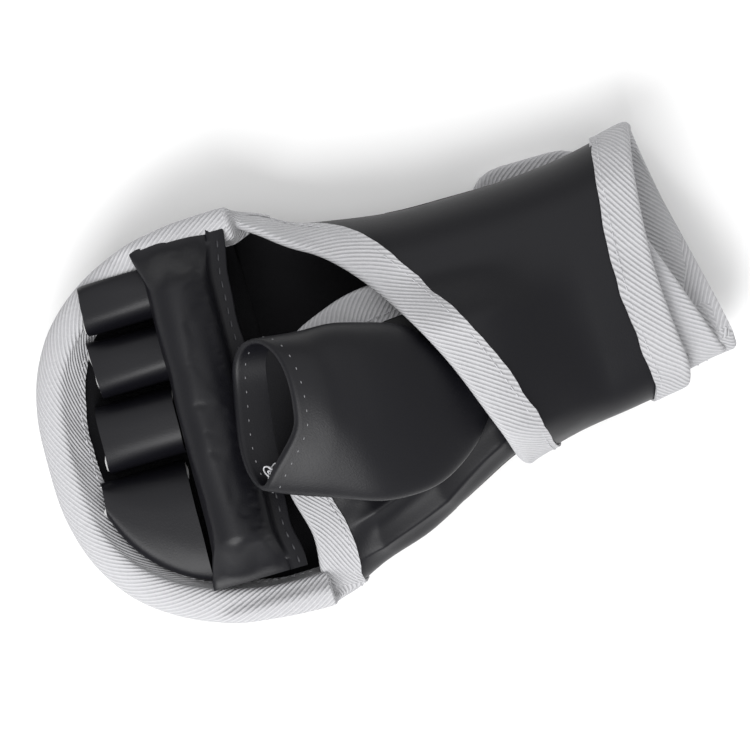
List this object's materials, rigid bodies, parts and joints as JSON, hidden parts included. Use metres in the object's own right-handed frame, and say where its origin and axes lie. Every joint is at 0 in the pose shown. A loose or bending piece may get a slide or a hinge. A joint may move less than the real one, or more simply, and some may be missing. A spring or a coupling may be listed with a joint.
{
  "type": "mma glove",
  "caption": "Left-hand open-palm grappling glove: padded finger guard with finger loops and grip bar, thumb sleeve and wrap-round wrist strap, edges bound in tape.",
  "frame": {"origin": "middle of the bounding box in plan, on the surface that the glove lies on", "axes": "+X towards the wrist opening, +Y towards the little finger, +Z out of the palm; the glove lies on its back"},
  "size_m": [0.2591, 0.1538, 0.0826],
  "materials": {
    "leather": "smooth black synthetic leather, semi-gloss",
    "lining": "matt black lining cloth",
    "foam": "closed-cell padding foam, hidden",
    "twill": "white cotton twill binding",
    "fastener": "black hook-and-loop fastener"
  },
  "bodies": {
    "hand": {"back_cover": "leather", "back_foam": "foam", "back_lining": "lining", "cuff_binding": "twill", "heel_flap": "leather", "heel_flap_binding": "twill", "heel_flap_cuff_binding": "twill", "strap_panel": "leather", "strap_lining": "lining", "strap_distal_binding": "twill", "strap_cuff_binding": "twill", "loop_patch": "fastener"},
    "finger_guard": {"guard_cover": "leather", "knuckle_foam": "foam", "guard_lining": "lining", "guard_binding": "twill", "finger_loop_little": "leather", "finger_loop_ring": "leather", "finger_loop_middle": "leather", "finger_loop_index": "leather", "grip_bar_cover": "leather", "grip_bar_core": "foam"},
    "thumb": {"thumb_sleeve": "leather", "thumb_lining": "lining"},
    "strap_tip": {"strap_tip_cover": "leather", "strap_tip_binding": "twill", "hook_patch": "fastener"}
  },
  "joints": [
    {"name": "knuckle_flex", "type": "hinge", "parent": "hand", "child": "finger_guard", "pos_m": [-0.04025, 0, 0.018], "axis": [0, 1, 0], "range_deg": [-10, 3]},
    {"name": "thumb_swing", "type": "hinge", "parent": "hand", "child": "thumb", "pos_m": [0.02175, -0.0145, 0.053], "axis": [0, 0, 1], "range_deg": [-3, 12]},
    {"name": "strap_peel", "type": "hinge", "parent": "hand", "child": "strap_tip", "pos_m": [0.076, -0.0135, 0.0003], "axis": [-0.9888, -0.1496, 0], "range_deg": [0, 150]}
  ]
}
